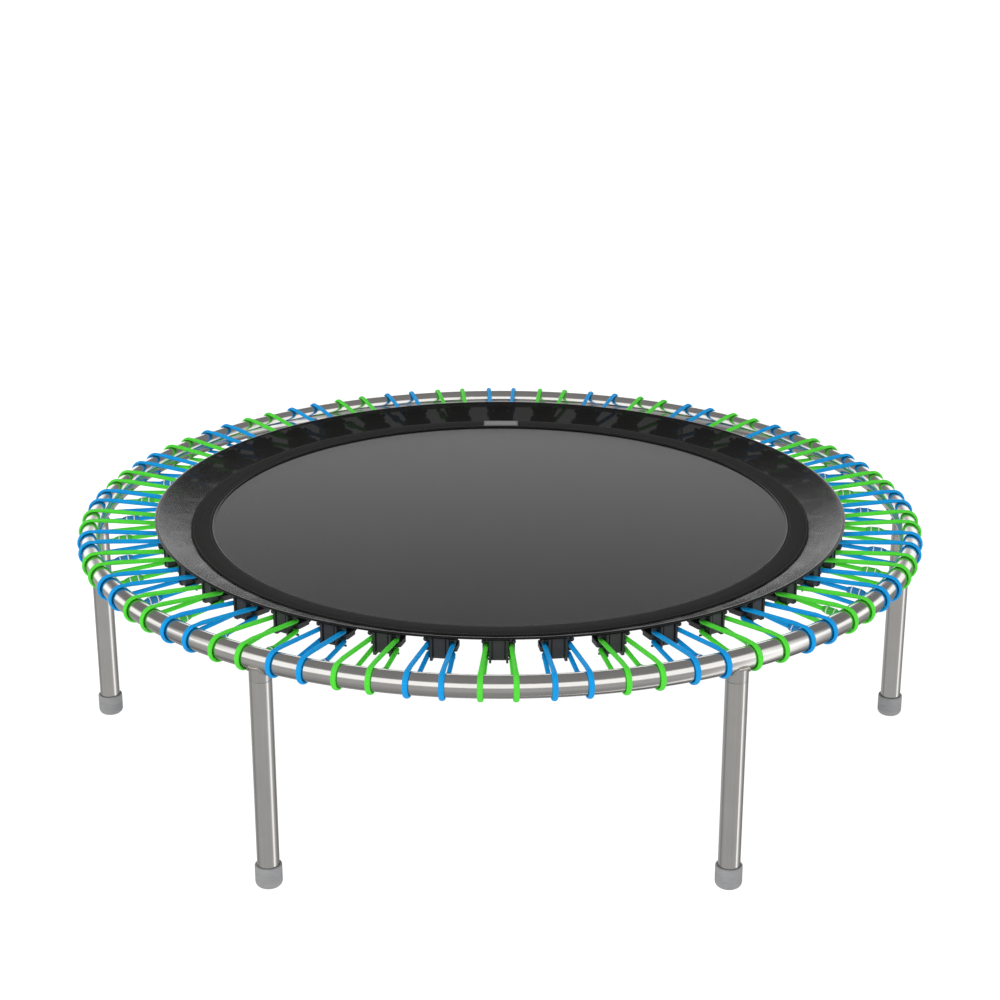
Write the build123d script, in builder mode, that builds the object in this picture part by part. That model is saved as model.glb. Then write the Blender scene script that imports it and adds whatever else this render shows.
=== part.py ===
"""Round mini trampoline: a steel ring on six screw-in legs, with a mesh mat hung in rubber rope rings.

Millimetres, +Z up. The origin is on the floor under the centre of the ring.
Each repeated piece is made once at angle 0, on the +X side, and placed round the ring from there.
"""

import os
from math import asin, atan2, cos, hypot, pi, radians, sin, sqrt

from build123d import *

os.makedirs("parts", exist_ok=True)

# Frame
RING_RADIUS = 610.0  # centre to the middle of the frame tube
RING_HEIGHT = 327.5  # floor to the middle of the frame tube
TUBE_RADIUS = 15.0
TUBE_WALL = 1.5

# Legs, which screw into short sockets welded under the ring
LEG_COUNT = 6
SOCKET_DROP = 26.5  # middle of the frame tube to the socket's lower face
WELD_THICKNESS = 2.2
THREAD_RADIUS = 10.0  # M20 x 2.5 screw, drawn plain
THREAD_CLEARANCE = 0.1
STUD_LENGTH = 24.5
PLUG_LENGTH = 25.0
SHOULDER_GAP = 0.1
NECK_RADIUS = 12.0
FOOT_RADIUS = 18.25
FOOT_HEIGHT = 32.0
FOOT_FLOOR = 8.0
FOOT_ROUNDING = 8.0
FOOT_CLEARANCE = 0.05

# Mat, all heights from the middle of the frame tube
MESH_RADIUS = 460.0
MESH_TOP = 3.0
MESH_THICKNESS = 0.8
BORDER_INNER = 432.6
BORDER_OUTER = 463.3
BORDER_THICKNESS = 1.8
SKIRT_THICKNESS = 0.6
SKIRT_EDGE_RADIUS = 512.0
SKIRT_EDGE_TOP = 23.0
SKIRT_SAG = 1.2
SKIRT_BINDING_HALF_WIDTH = 2.0
SKIRT_BINDING_HALF_THICKNESS = 1.2
BORDER_PIPING_RADIUS = 1.0
LABEL_WIDTH = 58.0
LABEL_DEPTH = 27.0
LABEL_THICKNESS = 0.5

# Rope rings and the clamps that they pull on
ROPE_COUNT = 42
FRONT = -90.0  # the angle of the first clamp, at the front
PITCH = 360 / ROPE_COUNT
ROPE_RADIUS = 3.2
ROPE_SPREAD = 2.06  # degrees from a clamp's middle to each of its two turns round the tube
ROPE_GAP = 0.3  # rope to clamp
WRAP_RADIUS = TUBE_RADIUS + ROPE_RADIUS + 0.1
BEND_RADIUS = 5.4
UPPER_ROPE = 7.5
LOWER_ROPE = -6.6
CLIP_DISTANCE = 68.0  # clamp corner to the middle of the joining clip
CLIP_HALF_LENGTH = 13.0
CLIP_RADIUS = 5.6
CLIP_WEB = 1.0
BAND_OFFSET = 5.8
BAND_WIDTH = 1.2
BAND_THICKNESS = 0.5

# Clamp
TOWER_BACK = 500.0
TOWER_FRONT = 511.5
RIB_FRONT = 513.0
TOWER_HALF_WIDTH = 12.5
RIB_WIDTH = 3.0
GROOVE_WIDTH = 2.2
GROOVE_DEPTH = 3.0
TOWER_BOTTOM = -8.5
TOWER_TOP_BACK = 15.4
TOWER_TOP_FRONT = 19.4
HOOK_BOTTOM = -13.6
BAR_INNER = 477.0
BAR_HALF_WIDTH = 21.0
BAR_TOP = UPPER_ROPE - ROPE_RADIUS - ROPE_GAP
BAR_BOTTOM = LOWER_ROPE + ROPE_RADIUS + ROPE_GAP
RAIL_WIDTH = 4.5
SLOT_WIDTH = 4.0
SLOT_HALF_LENGTH = 17.0
KNOB_RADIUS = 3.3
KNOB_REACH = 19.0
UPPER_PEG_RADIUS = 2.0
UPPER_PEG_LIFT = 7.5  # peg's middle above the strand it holds down
LOWER_PEG_RADIUS = 1.5
LOWER_PEG_REACH = 18.5

# Webbing loop
STRAP_WIDTH = 32.0
STRAP_THICKNESS = 1.2
STRAP_START = 438.0
STRAP_CLEARANCE = 0.2

BINDING_CENTRE_RADIUS = SKIRT_EDGE_RADIUS + SKIRT_BINDING_HALF_WIDTH + 0.05
CORNER_RADIUS = TOWER_BACK - ROPE_RADIUS - ROPE_GAP
CORNER_HALF = TOWER_HALF_WIDTH + ROPE_RADIUS + ROPE_GAP
RING_LEVEL = Plane.XY.offset(RING_HEIGHT)
SIDE = Plane(origin=(0, 0, RING_HEIGHT), x_dir=(1, 0, 0), z_dir=(0, -1, 0))


def save(part, name):
    """Label a finished piece and write it to its own file."""
    part.label = name
    export_step(part, f"parts/{name}.step")


def save_round(piece, name, count, start):
    """Write copies of a piece, evenly spaced round the ring, as one group."""
    with BuildPart() as group:
        with PolarLocations(0, count, start_angle=start):
            add(piece)
    save(group.part, name)


def save_each(piece, name, count):
    """Write copies of a piece, evenly spaced round the ring, each in its own file."""
    for number, place in enumerate(PolarLocations(0, count), start=1):
        with BuildPart() as copy:
            with Locations(place):
                add(piece)
        save(copy.part, f"{name}_{number}")


# ---------------------------------------------------------------- frame

with BuildPart() as frame_ring:
    with BuildSketch(SIDE):
        with Locations((RING_RADIUS, 0)):
            Circle(TUBE_RADIUS)
            Circle(TUBE_RADIUS - TUBE_WALL, mode=Mode.SUBTRACT)
    revolve(axis=Axis.Z)
    with BuildSketch(RING_LEVEL):
        with PolarLocations(RING_RADIUS, LEG_COUNT):
            Circle(NECK_RADIUS)
    extrude(amount=-TUBE_RADIUS - 1, mode=Mode.SUBTRACT)
save(frame_ring.part, "frame_ring")

with BuildPart() as tube_space:
    with BuildSketch(SIDE):
        with Locations((RING_RADIUS, 0)):
            Circle(TUBE_RADIUS)
    revolve(axis=Axis.Z)

with BuildPart() as weld:
    with BuildSketch(SIDE):
        with Locations((RING_RADIUS, 0)):
            Circle(TUBE_RADIUS + WELD_THICKNESS)
    revolve(axis=Axis.Z)
    with BuildSketch(SIDE) as weld_section:
        with BuildLine():
            Polyline(
                (RING_RADIUS, -SOCKET_DROP + 4),
                (RING_RADIUS + TUBE_RADIUS - 0.2, -SOCKET_DROP + 4),
                (RING_RADIUS + TUBE_RADIUS + 1, -TUBE_RADIUS - WELD_THICKNESS),
                (RING_RADIUS + TUBE_RADIUS + 5, -TUBE_RADIUS + 2),
                (RING_RADIUS, -TUBE_RADIUS + 2),
                close=True,
            )
        make_face()
    revolve(axis=Axis((RING_RADIUS, 0, 0), (0, 0, 1)), mode=Mode.INTERSECT)

with BuildPart() as leg_socket:
    with BuildSketch(RING_LEVEL.offset(-SOCKET_DROP)):
        with Locations((RING_RADIUS, 0)):
            Circle(TUBE_RADIUS)
    extrude(amount=SOCKET_DROP - 4)
    add(weld.part)
    add(tube_space.part, mode=Mode.SUBTRACT)
    with BuildSketch(RING_LEVEL.offset(-SOCKET_DROP)):
        with Locations((RING_RADIUS, 0)):
            Circle(NECK_RADIUS)
    extrude(amount=SOCKET_DROP - 2)
    with BuildSketch(RING_LEVEL.offset(-SOCKET_DROP)):
        with Locations((RING_RADIUS, 0)):
            Circle(THREAD_RADIUS + THREAD_CLEARANCE)
    extrude(amount=SOCKET_DROP, mode=Mode.SUBTRACT)
save_round(leg_socket.part, "leg_sockets", LEG_COUNT, 0)

# ---------------------------------------------------------------- legs

LEG_TOP = RING_HEIGHT - SOCKET_DROP - SHOULDER_GAP

with BuildPart() as leg_tube:
    with BuildSketch(Plane.XY.offset(FOOT_FLOOR + SHOULDER_GAP)):
        with Locations((RING_RADIUS, 0)):
            Circle(TUBE_RADIUS)
            Circle(TUBE_RADIUS - TUBE_WALL, mode=Mode.SUBTRACT)
    extrude(amount=LEG_TOP - FOOT_FLOOR - SHOULDER_GAP)
    rim = leg_tube.edges().filter_by(GeomType.CIRCLE).group_by(Axis.Z)[-1].sort_by(SortBy.RADIUS)[-1]
    chamfer(rim, 0.6)
save_each(leg_tube.part, "leg_tube", LEG_COUNT)

with BuildPart() as leg_stud:
    with BuildSketch(Plane.XY.offset(LEG_TOP)):
        with Locations((RING_RADIUS, 0)):
            Circle(TUBE_RADIUS - TUBE_WALL)
    extrude(amount=-PLUG_LENGTH)
    with BuildSketch(Plane.XY.offset(LEG_TOP)):
        with Locations((RING_RADIUS, 0)):
            Circle(THREAD_RADIUS)
    extrude(amount=STUD_LENGTH)
    chamfer(leg_stud.faces().sort_by(Axis.Z)[-1].edges(), 1.5)
save_each(leg_stud.part, "leg_stud", LEG_COUNT)

with BuildPart() as foot_cap:
    with BuildSketch(Plane.XY):
        with Locations((RING_RADIUS, 0)):
            Circle(FOOT_RADIUS)
    extrude(amount=FOOT_HEIGHT)
    fillet(foot_cap.faces().sort_by(Axis.Z)[0].edges(), FOOT_ROUNDING)
    with BuildSketch(Plane.XY.offset(FOOT_FLOOR)):
        with Locations((RING_RADIUS, 0)):
            Circle(TUBE_RADIUS + FOOT_CLEARANCE)
    extrude(amount=FOOT_HEIGHT, mode=Mode.SUBTRACT)
    fillet(foot_cap.edges().group_by(Axis.Z)[-1].sort_by(SortBy.RADIUS)[-1], 1.2)
save_each(foot_cap.part, "foot_cap", LEG_COUNT)

# ---------------------------------------------------------------- mat

FLANGE_TOP = MESH_TOP + SKIRT_THICKNESS
BORDER_TOP = FLANGE_TOP + BORDER_THICKNESS

with BuildPart() as jumping_mat:
    with BuildSketch(RING_LEVEL.offset(MESH_TOP)):
        Circle(MESH_RADIUS)
    extrude(amount=-MESH_THICKNESS)
save(jumping_mat.part, "jumping_mat")

with BuildPart() as mat_border:
    with BuildSketch(RING_LEVEL.offset(FLANGE_TOP)):
        Circle(BORDER_OUTER)
        Circle(BORDER_INNER, mode=Mode.SUBTRACT)
    extrude(amount=BORDER_THICKNESS)
save(mat_border.part, "mat_border")

with BuildPart() as mat_skirt:
    with BuildSketch(SIDE):
        middle_radius = (BORDER_OUTER + SKIRT_EDGE_RADIUS) / 2
        middle_height = (MESH_TOP + SKIRT_EDGE_TOP) / 2 - SKIRT_SAG
        rise = Vector(0, SKIRT_THICKNESS)
        with BuildLine():
            start = Vector(BORDER_OUTER + 0.4, MESH_TOP)
            middle = Vector(middle_radius, middle_height - SKIRT_THICKNESS)
            end = Vector(SKIRT_EDGE_RADIUS, SKIRT_EDGE_TOP - SKIRT_THICKNESS)
            Line((BORDER_INNER + 1.4, MESH_TOP), start)
            ThreePointArc(start, middle, end)
            Line(end, end + rise)
            ThreePointArc(end + rise, middle + rise, start + rise)
            Line(start + rise, (BORDER_INNER + 1.4, FLANGE_TOP))
            Line((BORDER_INNER + 1.4, FLANGE_TOP), (BORDER_INNER + 1.4, MESH_TOP))
        make_face()
    revolve(axis=Axis.Z)
save(mat_skirt.part, "mat_skirt")

with BuildPart() as skirt_piping:
    with BuildSketch(SIDE):
        with Locations((BINDING_CENTRE_RADIUS, SKIRT_EDGE_TOP - SKIRT_THICKNESS / 2)):
            Ellipse(SKIRT_BINDING_HALF_WIDTH, SKIRT_BINDING_HALF_THICKNESS)
    revolve(axis=Axis.Z)
save(skirt_piping.part, "skirt_piping")

with BuildPart() as border_piping:
    with BuildSketch(SIDE):
        with Locations((BORDER_INNER - 1.1, MESH_TOP + 1.05)):
            Circle(BORDER_PIPING_RADIUS)
    revolve(axis=Axis.Z)
save(border_piping.part, "border_piping")

with BuildPart() as mat_label:
    with BuildSketch(RING_LEVEL.offset(BORDER_TOP)):
        with Locations((0, (BORDER_INNER + BORDER_OUTER) / 2)):
            RectangleRounded(LABEL_WIDTH, LABEL_DEPTH, 2)
    extrude(amount=LABEL_THICKNESS)
save(mat_label.part, "mat_label")

# Webbing loop: out from under the mesh, over the clamp's rail, down its slot and back
strap_top = MESH_TOP - MESH_THICKNESS
rail_top = BAR_TOP + STRAP_CLEARANCE
rail_bottom = BAR_BOTTOM - STRAP_CLEARANCE
rail_inner = BAR_INNER - STRAP_CLEARANCE
rail_outer = BAR_INNER + RAIL_WIDTH + STRAP_CLEARANCE

with BuildPart() as mat_loop:
    with BuildSketch(SIDE):
        with BuildLine():
            Polyline(
                (STRAP_START, strap_top),
                (MESH_RADIUS, strap_top),
                (rail_inner, rail_top + STRAP_THICKNESS),
                (rail_outer + STRAP_THICKNESS, rail_top + STRAP_THICKNESS),
                (rail_outer + STRAP_THICKNESS, rail_bottom - STRAP_THICKNESS),
                (rail_inner, rail_bottom - STRAP_THICKNESS),
                (MESH_RADIUS, strap_top - 2 * STRAP_THICKNESS),
                (STRAP_START, strap_top - 2 * STRAP_THICKNESS),
                close=True,
            )
        make_face()
        with BuildLine():
            Polyline(
                (MESH_RADIUS, strap_top - STRAP_THICKNESS),
                (rail_inner, rail_top),
                (rail_outer, rail_top),
                (rail_outer, rail_bottom),
                (rail_inner, rail_bottom),
                close=True,
            )
        make_face(mode=Mode.SUBTRACT)
    extrude(amount=STRAP_WIDTH / 2, both=True)
save_round(mat_loop.part, "mat_loops", ROPE_COUNT, FRONT)

# ---------------------------------------------------------------- clamps

top_at_tower = TOWER_TOP_BACK + (TOWER_TOP_FRONT - TOWER_TOP_BACK) * (TOWER_FRONT - TOWER_BACK) / (
    RIB_FRONT - TOWER_BACK
)

with BuildPart() as clamp:
    # half of the tower's panel, then its side rib, which runs down into the lower hook
    with BuildSketch(SIDE):
        with BuildLine():
            Polyline(
                (TOWER_BACK, TOWER_BOTTOM),
                (TOWER_FRONT, TOWER_BOTTOM),
                (TOWER_FRONT, top_at_tower),
                (TOWER_BACK, TOWER_TOP_BACK),
                close=True,
            )
        make_face()
    extrude(amount=TOWER_HALF_WIDTH)
    with BuildSketch(SIDE.offset(TOWER_HALF_WIDTH - RIB_WIDTH)):
        with BuildLine():
            Polyline(
                (TOWER_BACK, TOWER_TOP_BACK),
                (TOWER_BACK, LOWER_ROPE - ROPE_RADIUS - ROPE_GAP),
                (TOWER_BACK - 3, LOWER_ROPE - ROPE_RADIUS - ROPE_GAP),
                (TOWER_BACK - 3, HOOK_BOTTOM),
                (RIB_FRONT - 3, HOOK_BOTTOM),
                (RIB_FRONT, HOOK_BOTTOM + 2),
                (RIB_FRONT, TOWER_TOP_FRONT),
                close=True,
            )
        make_face()
    extrude(amount=RIB_WIDTH)
    # a groove between the panel and its rib
    groove_side = TOWER_HALF_WIDTH - RIB_WIDTH - GROOVE_WIDTH
    with BuildSketch(SIDE.offset(groove_side)):
        with Locations((TOWER_FRONT, TOWER_BOTTOM + 2)):
            Rectangle(2 * GROOVE_DEPTH, 40, align=(Align.CENTER, Align.MIN))
    extrude(amount=GROOVE_WIDTH, mode=Mode.SUBTRACT)
    # the tower's back corner, which the rope bends round
    back_edges = clamp.edges().filter_by(Axis.Z).filter_by_position(Axis.X, TOWER_BACK, TOWER_BACK)
    fillet(back_edges.sort_by(Axis.Y)[0], 2.0)
    # the bar that carries the webbing loop
    with BuildSketch(RING_LEVEL.offset(BAR_BOTTOM)):
        with Locations((BAR_INNER, 0)):
            Rectangle(TOWER_BACK - BAR_INNER, BAR_HALF_WIDTH, align=(Align.MIN, Align.MAX))
        with Locations((TOWER_BACK, 0)):
            Rectangle(1, TOWER_HALF_WIDTH - 3, align=(Align.MIN, Align.MAX))
        outer_corners = vertices().group_by(Axis.Y)[0]
        fillet(outer_corners, 3.0)
        with Locations((BAR_INNER + RAIL_WIDTH, 0)):
            Rectangle(SLOT_WIDTH, SLOT_HALF_LENGTH, align=(Align.MIN, Align.MAX), mode=Mode.SUBTRACT)
    extrude(amount=BAR_TOP - BAR_BOTTOM)
    # pegs over the upper strand and under the lower one: the upper ends in a knob
    peg_start = SIDE.offset(TOWER_HALF_WIDTH - RIB_WIDTH)
    upper_peg = Vector(TOWER_BACK + 5, UPPER_ROPE + UPPER_PEG_LIFT)
    with BuildSketch(peg_start):
        with Locations(upper_peg):
            Circle(UPPER_PEG_RADIUS)
    extrude(amount=KNOB_REACH - TOWER_HALF_WIDTH + RIB_WIDTH)
    with BuildSketch(peg_start):
        with Locations((TOWER_BACK - 1, HOOK_BOTTOM + LOWER_PEG_RADIUS)):
            Circle(LOWER_PEG_RADIUS)
    extrude(amount=LOWER_PEG_REACH - TOWER_HALF_WIDTH + RIB_WIDTH)
    with Locations((upper_peg.X, -KNOB_REACH, RING_HEIGHT + upper_peg.Y)):
        Sphere(KNOB_RADIUS)
    mirror(about=Plane.XZ)
save_round(clamp.part, "rope_clamps", ROPE_COUNT, FRONT)

# ---------------------------------------------------------------- rope rings


class Strands:
    """One side's upper and lower strands and its turn round the tube, in their upright plane."""

    def __init__(self, side):
        spread = radians(ROPE_SPREAD)
        self.corner = Vector(CORNER_RADIUS, side * CORNER_HALF)
        self.tube = Vector(RING_RADIUS * cos(spread), side * RING_RADIUS * sin(spread))
        self.span = (self.tube - self.corner).length
        self.outward = (self.tube - self.corner).normalized()

    def point(self, distance, height):
        """A point at a distance outward from the clamp's corner and a height from the ring's level."""
        place = self.corner + self.outward * distance
        return Vector(place.X, place.Y, RING_HEIGHT + height)

    def angle(self, height, side):
        """Climb, in radians, of the strand that starts at a height and meets the turn above or below."""
        reach = hypot(self.span, height)
        return atan2(-height, self.span) + side * asin(WRAP_RADIUS / reach)

    def along(self, height, side, distance):
        """The point at a distance along a strand from the clamp's corner."""
        climb = self.angle(height, side)
        return self.point(distance * cos(climb), height + distance * sin(climb))

    def touch(self, height, side):
        """The point where a strand meets the turn round the tube."""
        return self.along(height, side, sqrt(self.span**2 + height**2 - WRAP_RADIUS**2))


plus = Strands(1)
minus = Strands(-1)
joint_middle = plus.along(LOWER_ROPE, -1, CLIP_DISTANCE)
joint_outer = plus.along(LOWER_ROPE, -1, CLIP_DISTANCE + CLIP_WEB / 2)
joint_inner = plus.along(LOWER_ROPE, -1, CLIP_DISTANCE - CLIP_WEB / 2)

with BuildPart() as rope_ring:
    with BuildLine() as rope_route:
        Line(joint_outer, plus.touch(LOWER_ROPE, -1))
        ThreePointArc(
            plus.touch(LOWER_ROPE, -1),
            plus.point(plus.span + WRAP_RADIUS, 0),
            plus.touch(UPPER_ROPE, 1),
        )
        FilletPolyline(
            plus.touch(UPPER_ROPE, 1),
            plus.point(0, UPPER_ROPE),
            minus.point(0, UPPER_ROPE),
            minus.touch(UPPER_ROPE, 1),
            radius=BEND_RADIUS,
        )
        ThreePointArc(
            minus.touch(UPPER_ROPE, 1),
            minus.point(minus.span + WRAP_RADIUS, 0),
            minus.touch(LOWER_ROPE, -1),
        )
        FilletPolyline(
            minus.touch(LOWER_ROPE, -1),
            minus.point(0, LOWER_ROPE),
            plus.point(0, LOWER_ROPE),
            joint_inner,
            radius=BEND_RADIUS,
        )
    rope_wire = rope_route.wire()
    with BuildSketch(Plane(origin=rope_wire @ 0, z_dir=rope_wire % 0)):
        Circle(ROPE_RADIUS)
    sweep(path=rope_wire)
tube_volume = pi * ROPE_RADIUS**2 * rope_wire.length
print(f"rope length {rope_wire.length:.1f} mm, volume {rope_ring.part.volume / tube_volume:.4f} of its tube")
save_round(rope_ring.part, "rope_rings_green", ROPE_COUNT // 2, FRONT)
save_round(rope_ring.part, "rope_rings_blue", ROPE_COUNT // 2, FRONT + PITCH)

# Joining clip: a sleeve over both ends of the rope, with a thin web between them
clip_axis = Axis(joint_middle, joint_outer - joint_inner)
clip_side = Plane(
    origin=joint_middle,
    x_dir=joint_outer - joint_inner,
    z_dir=(joint_outer - joint_inner).cross(Vector(0, 0, 1)),
)

with BuildPart() as rope_clip:
    with BuildSketch(clip_side):
        with BuildLine():
            Polyline(
                (-CLIP_HALF_LENGTH, ROPE_RADIUS),
                (-CLIP_HALF_LENGTH, ROPE_RADIUS + 0.6),
                (-BAND_OFFSET - 2.5, CLIP_RADIUS - 0.2),
                (-BAND_OFFSET, CLIP_RADIUS),
                (BAND_OFFSET, CLIP_RADIUS),
                (BAND_OFFSET + 2.5, CLIP_RADIUS - 0.2),
                (CLIP_HALF_LENGTH, ROPE_RADIUS + 0.6),
                (CLIP_HALF_LENGTH, ROPE_RADIUS),
                (CLIP_WEB / 2, ROPE_RADIUS),
                (CLIP_WEB / 2, 0),
                (-CLIP_WEB / 2, 0),
                (-CLIP_WEB / 2, ROPE_RADIUS),
                close=True,
            )
        make_face()
    revolve(axis=clip_axis)
save_round(rope_clip.part, "rope_clips_green", ROPE_COUNT // 2, FRONT)
save_round(rope_clip.part, "rope_clips_blue", ROPE_COUNT // 2, FRONT + PITCH)

with BuildPart() as clip_band:
    for offset_along in (-BAND_OFFSET, BAND_OFFSET):
        with BuildSketch(clip_side):
            with Locations((offset_along, CLIP_RADIUS)):
                Rectangle(BAND_WIDTH, BAND_THICKNESS, align=(Align.CENTER, Align.MIN))
        revolve(axis=clip_axis)
    add(rope_clip.part, mode=Mode.SUBTRACT)
save_round(clip_band.part, "clip_bands", ROPE_COUNT, FRONT)
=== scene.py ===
"""Looks of the round mini trampoline: rope rings, mat, collar, steel, rubber feet, light and camera.

Metres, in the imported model's frame: the floor is z = 0, -Y is the front, +Z is up.
"""

import math

import bpy
import numpy as np
from mathutils import Matrix, Vector


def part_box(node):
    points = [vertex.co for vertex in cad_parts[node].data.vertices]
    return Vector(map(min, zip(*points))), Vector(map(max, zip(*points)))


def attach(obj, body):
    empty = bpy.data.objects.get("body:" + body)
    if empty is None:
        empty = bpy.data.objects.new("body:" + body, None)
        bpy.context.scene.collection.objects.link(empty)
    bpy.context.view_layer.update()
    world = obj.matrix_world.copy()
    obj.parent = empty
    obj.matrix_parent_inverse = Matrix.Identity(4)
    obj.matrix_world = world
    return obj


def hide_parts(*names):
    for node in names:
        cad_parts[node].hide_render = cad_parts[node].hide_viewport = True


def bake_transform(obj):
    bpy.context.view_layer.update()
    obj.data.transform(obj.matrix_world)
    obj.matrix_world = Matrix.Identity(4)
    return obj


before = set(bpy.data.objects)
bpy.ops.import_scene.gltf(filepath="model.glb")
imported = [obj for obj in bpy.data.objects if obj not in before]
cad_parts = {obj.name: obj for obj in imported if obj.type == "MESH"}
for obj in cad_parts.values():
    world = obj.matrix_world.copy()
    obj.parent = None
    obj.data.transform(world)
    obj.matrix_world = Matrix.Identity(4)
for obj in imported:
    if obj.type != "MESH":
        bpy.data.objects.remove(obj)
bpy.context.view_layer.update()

MM = 0.001


def middle(node, axis):
    """Middle of a node's box along one axis."""
    low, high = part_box(node)
    return (low[axis] + high[axis]) / 2


# ---------------------------------------------------------------- sizes, from the frame

RING_LOW, RING_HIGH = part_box("frame_ring")
TUBE_RADIUS = (RING_HIGH[2] - RING_LOW[2]) / 2
RING_HEIGHT = middle("frame_ring", 2)
RING_RADIUS = RING_HIGH[0] - TUBE_RADIUS
MESH_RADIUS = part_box("jumping_mat")[1][0]
MESH_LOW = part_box("jumping_mat")[0][2]
MESH_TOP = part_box("jumping_mat")[1][2]
BORDER_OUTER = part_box("mat_border")[1][0]
BORDER_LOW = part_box("mat_border")[0][2]
BORDER_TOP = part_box("mat_border")[1][2]
BORDER_INNER = BORDER_OUTER - 30.7 * MM
SKIRT_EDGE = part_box("mat_skirt")[1][0]
SKIRT_EDGE_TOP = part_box("mat_skirt")[1][2]
SKIRT_THICKNESS = 0.6 * MM
SKIRT_SAG = 1.2 * MM
BINDING_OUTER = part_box("skirt_piping")[1][0]
BINDING_HALF_WIDTH = 2.8 * MM
BINDING_HALF_THICKNESS = 1.4 * MM
LEG_COUNT = 6

# Rope rings, in the same terms as the solids
ROPE_COUNT = 42
FRONT = math.radians(-90)
ROPE_RADIUS = 3.2 * MM
ROPE_SPREAD = math.radians(2.06)
CORNER_RADIUS = 496.5 * MM
CORNER_HALF = 16.0 * MM
WRAP_RADIUS = TUBE_RADIUS + ROPE_RADIUS + 0.1 * MM
BEND_RADIUS = 5.4 * MM
UPPER_ROPE = 7.5 * MM
LOWER_ROPE = -6.6 * MM
CLIP_DISTANCE = 68.0 * MM
WRAP_HALF_THICKNESS = 2.2 * MM
WRAP_HALF_WIDTH = 3.7 * MM
WRAP_EASE = 16.0 * MM
ROPE_SIDES = 16

# ---------------------------------------------------------------- camera

CAMERA_DISTANCE = 2.9494
CAMERA_HEIGHT = RING_HEIGHT + 1.0874
CAMERA_PITCH = math.radians(19.784)
CAMERA_TURN = 0.0034
CAMERA_LENS = 74.65


def make_camera():
    """The camera, level and a little above the mat, looking at the front of the ring."""
    data = bpy.data.cameras.new("camera")
    data.lens = CAMERA_LENS
    data.sensor_width = 36
    data.clip_end = 200
    camera = bpy.data.objects.new("camera", data)
    bpy.context.collection.objects.link(camera)
    turn = Matrix.Rotation(CAMERA_TURN, 4, "Z")
    place = Matrix.Translation((0, -CAMERA_DISTANCE, CAMERA_HEIGHT))
    tilt = Matrix.Rotation(math.pi / 2 - CAMERA_PITCH, 4, "X")
    camera.matrix_world = turn @ place @ tilt
    bpy.context.scene.camera = camera


make_camera()

# ---------------------------------------------------------------- mesh helpers


def add_object(name, vertices, faces, uvs=None, smooth=True):
    """A mesh object from lists of vertices and faces, with a UV pair for each face corner."""
    mesh = bpy.data.meshes.new(name)
    mesh.from_pydata([tuple(v) for v in vertices], [], [tuple(f) for f in faces])
    if uvs is not None:
        layer = mesh.uv_layers.new(name="UVMap")
        layer.data.foreach_set("uv", np.array(uvs, np.float32).ravel())
    mesh.polygons.foreach_set("use_smooth", [smooth] * len(mesh.polygons))
    mesh.validate()
    mesh.update()
    obj = bpy.data.objects.new(name, mesh)
    bpy.context.collection.objects.link(obj)
    return obj


def sharpen(obj, degrees=35):
    """Keep edges sharper than an angle crisp on a smooth-shaded piece."""
    mesh = obj.data
    mesh.set_sharp_from_angle(angle=math.radians(degrees))
    return obj


def circle(count, start=0.0):
    return [start + 2 * math.pi * n / count for n in range(count)]


def grid_faces(rows, columns, close_rows=False, close_columns=True, offset=0):
    """Quads between rows of columns of vertices."""
    faces = []
    for row in range(rows if close_rows else rows - 1):
        for column in range(columns if close_columns else columns - 1):
            a = row * columns + column
            b = row * columns + (column + 1) % columns
            c = ((row + 1) % rows) * columns + (column + 1) % columns
            d = ((row + 1) % rows) * columns + column
            faces.append((offset + a, offset + b, offset + c, offset + d))
    return faces


def lathe(name, profile, segments, centre=(0.0, 0.0), closed=True):
    """A closed profile of (radius, height) turned about a vertical axis at centre."""
    vertices = []
    for radius, height in profile:
        for angle in circle(segments):
            x = centre[0] + radius * math.cos(angle)
            y = centre[1] + radius * math.sin(angle)
            vertices.append((x, y, height))
    faces = grid_faces(len(profile), segments, close_rows=closed)
    return add_object(name, vertices, [f[::-1] for f in faces])


def arc_points(centre, radius, start, end, count):
    """Points of an arc in the (radius, height) plane, angles in degrees."""
    points = []
    for n in range(count + 1):
        angle = math.radians(start + (end - start) * n / count)
        points.append((centre[0] + radius * math.cos(angle), centre[1] + radius * math.sin(angle)))
    return points


# ---------------------------------------------------------------- material helpers


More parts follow.
